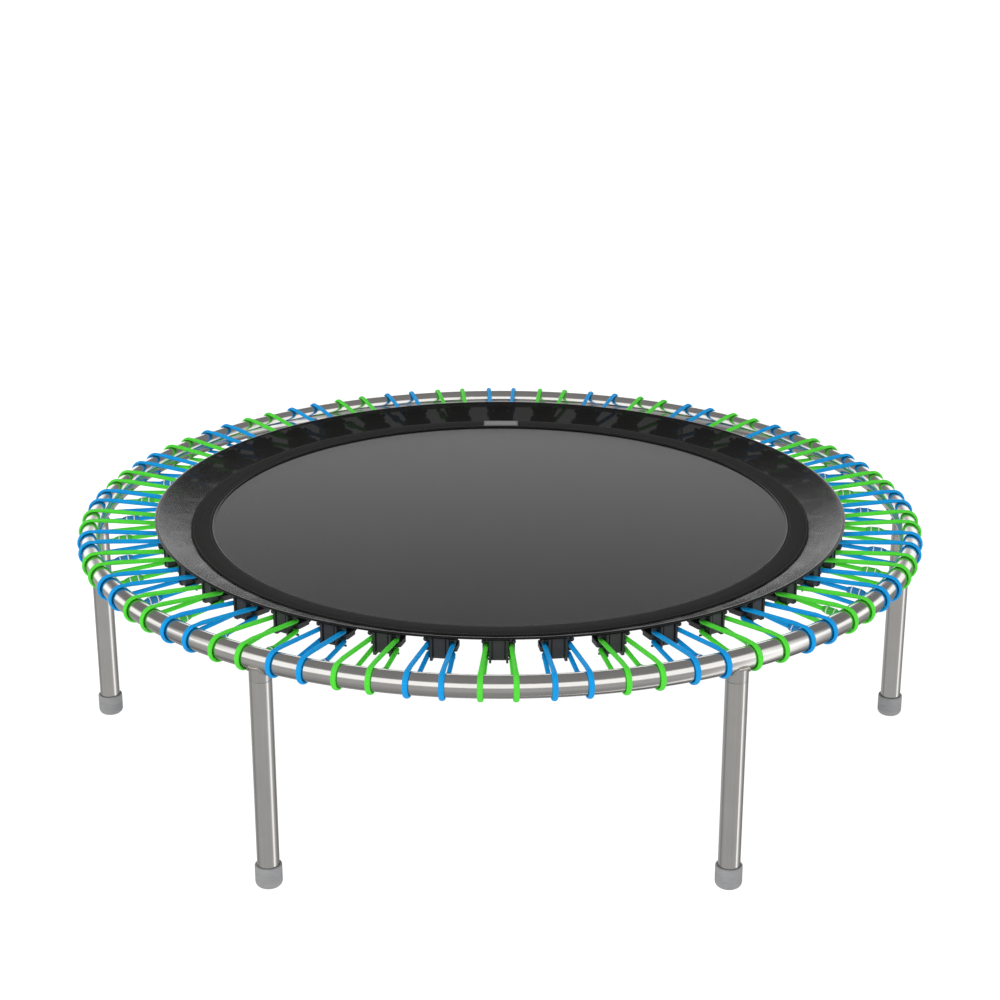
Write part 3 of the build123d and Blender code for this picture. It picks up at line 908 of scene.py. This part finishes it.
def rope_plane(side):
    """One side's clamp corner, outward direction and distance to the tube's middle, in plan."""
    corner = Vector((CORNER_RADIUS, side * CORNER_HALF, 0))
    tube = Vector((RING_RADIUS * math.cos(ROPE_SPREAD), side * RING_RADIUS * math.sin(ROPE_SPREAD), 0))
    return corner, (tube - corner).normalized(), (tube - corner).length


def climb(span, height, upper):
    """Slope of a strand from a height at the clamp to the turn round the tube."""
    reach = math.hypot(span, height)
    return math.atan2(-height, span) + upper * math.asin(WRAP_RADIUS / reach)


def strand(side, height, upper, distance):
    """Point and direction at a distance along a strand, outward from its clamp corner."""
    corner, outward, span = rope_plane(side)
    slope = climb(span, height, upper)
    direction = outward * math.cos(slope) + Vector((0, 0, math.sin(slope)))
    return corner + Vector((0, 0, height)) + direction * distance, direction


def strand_length(side, height):
    span = rope_plane(side)[2]
    return math.sqrt(span**2 + height**2 - WRAP_RADIUS**2)


def rope_stations():
    """Stations round one rope ring at angle 0: place, direction, outward face and flatness."""
    stations = []

    def run(side, height, upper, start, end, steps, skip_first=True):
        """A straight strand, flattening as it nears the tube."""
        length = strand_length(side, height)
        for n in range(1 if skip_first else 0, steps + 1):
            distance = start + (end - start) * n / steps
            place, direction = strand(side, height, upper, distance)
            heading = direction if end > start else -direction
            face = Vector((0, 0, upper)) - direction * direction.z * upper
            flat = max(0.0, 1 - (length - distance) / WRAP_EASE)
            stations.append((place, heading, face.normalized(), flat * flat * (3 - 2 * flat)))

    def wrap(side, from_upper, steps=26):
        """The turn round the tube."""
        corner, outward, span = rope_plane(side)
        middle_point = corner + outward * span
        top = math.pi / 2 + climb(span, UPPER_ROPE, 1)
        bottom = -math.pi / 2 + climb(span, LOWER_ROPE, -1)
        start, end = (top, bottom) if from_upper else (bottom, top)
        for n in range(1, steps + 1):
            angle = start + (end - start) * n / steps
            face = outward * math.cos(angle) + Vector((0, 0, math.sin(angle)))
            heading = outward * math.sin(angle) - Vector((0, 0, math.cos(angle)))
            heading = heading if from_upper else -heading
            stations.append((middle_point + face * WRAP_RADIUS, heading, face, 1.0))

    def bend(side, height, upper, entering, steps=8):
        """The quarter turn at a clamp corner, into the straight behind the tower or out of it."""
        corner_place, direction = strand(side, height, upper, 0.0)
        across = Vector((0, -side, 0))
        inward, outward = (-direction, across) if entering else (-across, direction)
        turn = inward.angle(outward)
        reach = BEND_RADIUS * math.tan(turn / 2)
        start = corner_place - inward * reach
        normal = inward.cross(outward).normalized()
        toward = normal.cross(inward)
        centre = start + toward * BEND_RADIUS
        for n in range(steps + 1):
            angle = turn * n / steps
            heading = inward * math.cos(angle) + toward * math.sin(angle)
            arm = inward * math.sin(angle) - toward * math.cos(angle)
            face = Vector((0, 0, upper)) - heading * heading.z * upper
            stations.append((centre + arm * BEND_RADIUS, heading, face.normalized(), 0.0))

    reach = BEND_RADIUS
    run(1, LOWER_ROPE, -1, CLIP_DISTANCE, strand_length(1, LOWER_ROPE), 14, skip_first=False)
    wrap(1, from_upper=False)
    run(1, UPPER_ROPE, 1, strand_length(1, UPPER_ROPE), 1.6 * reach, 26)
    bend(1, UPPER_ROPE, 1, entering=True)
    bend(-1, UPPER_ROPE, 1, entering=False)
    run(-1, UPPER_ROPE, 1, 1.6 * reach, strand_length(-1, UPPER_ROPE), 26)
    wrap(-1, from_upper=True)
    run(-1, LOWER_ROPE, -1, strand_length(-1, LOWER_ROPE), 1.6 * reach, 26)
    bend(-1, LOWER_ROPE, -1, entering=True)
    bend(1, LOWER_ROPE, -1, entering=False)
    run(1, LOWER_ROPE, -1, 1.6 * reach, CLIP_DISTANCE - 1.5 * MM, 14)
    return stations


def rope_mesh():
    """Vertices, faces and UVs of one rope ring at angle 0, heights from the floor."""
    stations = rope_stations()
    lift = Vector((0, 0, RING_HEIGHT))
    vertices, lengths, travelled, before = [], [], 0.0, None
    for place, heading, face, flat in stations:
        across = heading.cross(face)
        half_thick = ROPE_RADIUS + (WRAP_HALF_THICKNESS - ROPE_RADIUS) * flat
        half_wide = ROPE_RADIUS + (WRAP_HALF_WIDTH - ROPE_RADIUS) * flat
        centre = place - face * (ROPE_RADIUS - half_thick) + lift
        if before is not None:
            travelled += (centre - before).length
        before = centre
        lengths.append(travelled)
        for turn in circle(ROPE_SIDES):
            offset = face * half_thick * math.sin(turn) + across * half_wide * math.cos(turn)
            vertices.append(centre + offset)
    rows = len(stations)
    closing = (Vector(vertices[0]) - Vector(vertices[-ROPE_SIDES])).length
    lengths.append(travelled + closing)
    faces, uvs = [], []
    for row in range(rows):
        for column in range(ROPE_SIDES):
            after_row, after_column = (row + 1) % rows, (column + 1) % ROPE_SIDES
            faces.append((
                row * ROPE_SIDES + column,
                after_row * ROPE_SIDES + column,
                after_row * ROPE_SIDES + after_column,
                row * ROPE_SIDES + after_column,
            ))
            u0, u1 = lengths[row], lengths[row + 1]
            v0, v1 = column / ROPE_SIDES, (column + 1) / ROPE_SIDES
            uvs += [(u0, v0), (u1, v0), (u1, v1), (u0, v1)]
    return vertices, faces, uvs


def spin(name, profile, place, direction, segments=28):
    """A closed profile of (radius, distance along) turned about a slanted axis."""
    side = direction.cross(Vector((0, 0, 1))).normalized()
    up = side.cross(direction)
    vertices = []
    for radius, distance in profile:
        for turn in circle(segments):
            vertices.append(
                place + direction * distance + side * radius * math.cos(turn) + up * radius * math.sin(turn)
            )
    faces = [f[::-1] for f in grid_faces(len(profile), segments, close_rows=True)]
    return add_object(name, vertices, faces)


CLIP_RADIUS = 5.6 * MM
CLIP_HALF = 13.0 * MM
BAND_OFFSET = 5.8 * MM


def clip_profile():
    """The sleeve: a waist of full size between two tapered ends, hollow for the rope."""
    bore = ROPE_RADIUS - 0.1 * MM
    half = [
        (bore, CLIP_HALF),
        (bore + 0.5 * MM, CLIP_HALF),
        (bore + 0.9 * MM, CLIP_HALF - 0.4 * MM),
        (CLIP_RADIUS - 0.9 * MM, BAND_OFFSET + 4.2 * MM),
        (CLIP_RADIUS - 0.3 * MM, BAND_OFFSET + 2.2 * MM),
        (CLIP_RADIUS, BAND_OFFSET + 0.6 * MM),
    ]
    return half + [(radius, -distance) for radius, distance in reversed(half)]


def band_profile(offset):
    """A thin raised ring near one end of the sleeve."""
    outer, half = CLIP_RADIUS + 0.45 * MM, 0.75 * MM
    return [
        (CLIP_RADIUS - 0.6 * MM, offset + half),
        (outer - 0.15 * MM, offset + half),
        (outer, offset + half * 0.5),
        (outer, offset - half * 0.5),
        (outer - 0.15 * MM, offset - half),
        (CLIP_RADIUS - 0.6 * MM, offset - half),
    ]


def stretch(piece):
    """Bake the placement of a piece of a rope ring into its vertices."""
    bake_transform(piece)


def make_ropes():
    """Every rope ring with its joining clip, alternately green and blue from the front."""
    vertices, faces, uvs = rope_mesh()
    lift = Vector((0, 0, RING_HEIGHT))
    place, direction = strand(1, LOWER_ROPE, -1, CLIP_DISTANCE)
    for number, angle in enumerate(circle(ROPE_COUNT, FRONT), start=1):
        colour = "green" if number % 2 else "blue"
        turn = Matrix.Rotation(angle, 4, "Z")
        rope = dress(add_object(f"rope_ring_{number:02d}", vertices, faces, uvs), ROPES[colour])
        rope.data.transform(turn)
        stretch(rope)
        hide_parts(f"rope_rings_{colour}")
        clip = spin(f"rope_clip_{number:02d}", clip_profile(), place + lift, direction)
        clip.data.transform(turn)
        stretch(dress(sharpen(clip, 50), CLIPS[colour]))
        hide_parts(f"rope_clips_{colour}")
        for end, offset in (("a", -BAND_OFFSET), ("b", BAND_OFFSET)):
            band = spin(f"clip_band_{number:02d}_{end}", band_profile(offset), place + lift, direction)
            band.data.transform(turn)
            stretch(dress(sharpen(band, 50), WHITE))
            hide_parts("clip_bands")


# ---------------------------------------------------------------- light and floor


def area_light(name, place, target, size, power):
    """A soft white rectangular lamp that lights the object but never shows."""
    data = bpy.data.lights.new(name, "AREA")
    data.shape = "RECTANGLE"
    data.size, data.size_y = size
    data.energy = power
    lamp = bpy.data.objects.new(name, data)
    bpy.context.collection.objects.link(lamp)
    lamp.location = place
    lamp.rotation_euler = (Vector(target) - Vector(place)).to_track_quat("-Z", "Y").to_euler()
    lamp.visible_camera = False
    lamp.visible_glossy = False


# Height of a direction (its sine), the light there all round, then in front and from the backdrop
ROOM = [(-1.0, 0.34), (-0.7, 0.38), (-0.4, 0.52), (0.15, 0.46), (0.30, 0.42), (0.37, 0.22), (1.0, 0.28)]
SOFT_BOX = [(0.13, 0.0), (0.15, 1.1), (0.70, 1.3), (0.75, 0.0)]
BACKDROP = [(-0.15, 0.0), (0.0, 1.2), (0.26, 1.2), (0.32, 0.85), (0.37, 0.30), (0.40, 0.0)]
# Azimuth, sharpness and light of the upright strips
STRIPS = [(-14, 50, 1.15), (164, 30, -0.20), (45, 12, -0.25)]


def make_world():
    """A grey room with one wide soft box in front and upright strips lower down."""
    world = bpy.data.worlds.new("studio")
    bpy.context.scene.world = world
    n = Nodes("studio", world)
    x, y, z = n.split(n.place("Generated"))
    share = n.math("MULTIPLY_ADD", z, 0.5, 0.5)
    total = n.ramp(share, [(level / 2 + 0.5, (light,) * 3) for level, light in ROOM])
    across = n.math("MAXIMUM", n.math("SQRT", n.math("SUBTRACT", 1.0, n.math("MULTIPLY", z, z))), 0.001)
    for levels, toward in ((SOFT_BOX, -2.0), (BACKDROP, 2.0)):
        glow = n.ramp(share, [(level / 2 + 0.5, (light,) * 3) for level, light in levels])
        facing = n.math("MULTIPLY_ADD", n.math("DIVIDE", y, across), toward, 0.5)
        facing = n.math("MINIMUM", n.math("MAXIMUM", facing, 0.0), 1.0)
        total = n.math("ADD", total, n.math("MULTIPLY", glow, facing))
    low = n.math("LESS_THAN", z, 0.2)
    for degrees, sharp, light in STRIPS:
        turn = math.radians(degrees)
        facing = n.math("ADD", n.math("MULTIPLY", x, math.cos(turn)), n.math("MULTIPLY", y, math.sin(turn)))
        strip = n.math("POWER", n.math("MAXIMUM", n.math("DIVIDE", facing, across), 0.0), sharp)
        total = n.math("ADD", total, n.math("MULTIPLY", n.math("MULTIPLY", strip, light), low))
    background = n.tree.nodes.new("ShaderNodeBackground")
    n.link(n.math("MAXIMUM", total, 0.05), background.inputs[0])
    n.finish(background.outputs[0])


def make_studio():
    """A white floor and a far wall that glow like a light table, and a soft box overhead."""
    half = 30.0
    floor = add_object(
        "floor",
        [(-half, -half, 0), (half, -half, 0), (half, half, 0), (-half, half, 0)],
        [(0, 1, 2, 3)],
        smooth=False,
    )
    n = Nodes("floor_white")
    tone = n.ramp(n.noise(n.place(), 0.8), [(0.3, (0.29, 0.29, 0.29)), (0.7, (0.31, 0.31, 0.31))])
    shader = n.shader(Base_Color=tone, Roughness=0.9, Specular_IOR_Level=0.0, Emission_Strength=0.94)
    shader.inputs["Emission Color"].default_value = (1, 1, 1, 1)
    dress(floor, n.finish(shader.outputs[0]))
    floor.visible_glossy = False
    rim = [(half * math.cos(a), half * math.sin(a)) for a in circle(64)]
    wall = add_object(
        "backdrop",
        [(x, y, 0) for x, y in rim] + [(x, y, half) for x, y in rim],
        [f[::-1] for f in grid_faces(2, 64)],
    )
    dress(wall, floor.data.materials[0])
    wall.visible_glossy = False
    wall.visible_diffuse = False
    wall.visible_shadow = False
    make_world()
    area_light("key", (-1.2, -1.4, 3.4), (0, 0, 0.3), (3.0, 3.0), 40)
    bpy.context.scene.view_settings.view_transform = "Standard"


# ---------------------------------------------------------------- build

make_ropes()
make_frame()
make_legs()
make_mesh_mat()
make_border()
make_skirt()
make_label()
make_loops()
dress(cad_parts["rope_clamps"], CLAMP)
make_studio()
